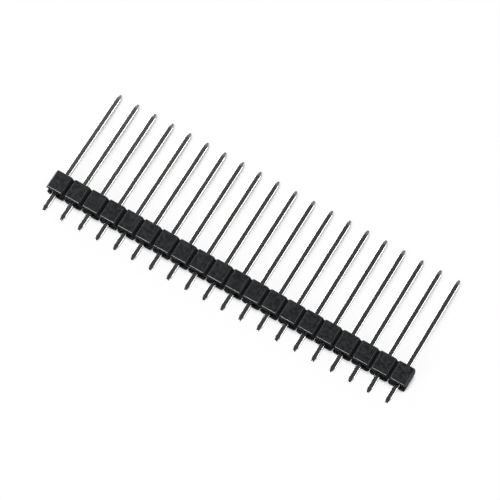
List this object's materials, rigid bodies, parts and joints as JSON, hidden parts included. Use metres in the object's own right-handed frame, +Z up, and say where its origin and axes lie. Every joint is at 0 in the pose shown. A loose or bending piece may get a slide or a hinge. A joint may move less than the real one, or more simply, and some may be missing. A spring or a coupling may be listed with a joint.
{
  "type": "pin header strip",
  "caption": "Single-row pin header strip: a notched black housing with feet and a channel, and long square pins with short solder tails. It lies on its side.",
  "frame": {"origin": "on the ground, under the middle of the strip's box: half way along the row, and half way between the two ends of the pins", "axes": "+X along the row of pins from the first to the last, +Y the way the long mating ends point, +Z up, away from the ground that the strip lies on. The pins slope down towards their long ends by the angle at which the strip rests."},
  "size_m": [0.0508, 0.018, 0.0027],
  "materials": {
    "housing_plastic": "moulded, fine matt texture",
    "pin_plating": "bright tin plate over brass wire"
  },
  "bodies": {
    "root": {"housing": "housing_plastic", "pin_01": "pin_plating", "pin_02": "pin_plating", "pin_03": "pin_plating", "pin_04": "pin_plating", "pin_05": "pin_plating", "pin_06": "pin_plating", "pin_07": "pin_plating", "pin_08": "pin_plating", "pin_09": "pin_plating", "pin_10": "pin_plating", "pin_11": "pin_plating", "pin_12": "pin_plating", "pin_13": "pin_plating", "pin_14": "pin_plating", "pin_15": "pin_plating", "pin_16": "pin_plating", "pin_17": "pin_plating", "pin_18": "pin_plating", "pin_19": "pin_plating", "pin_20": "pin_plating"}
  },
  "joints": []
}
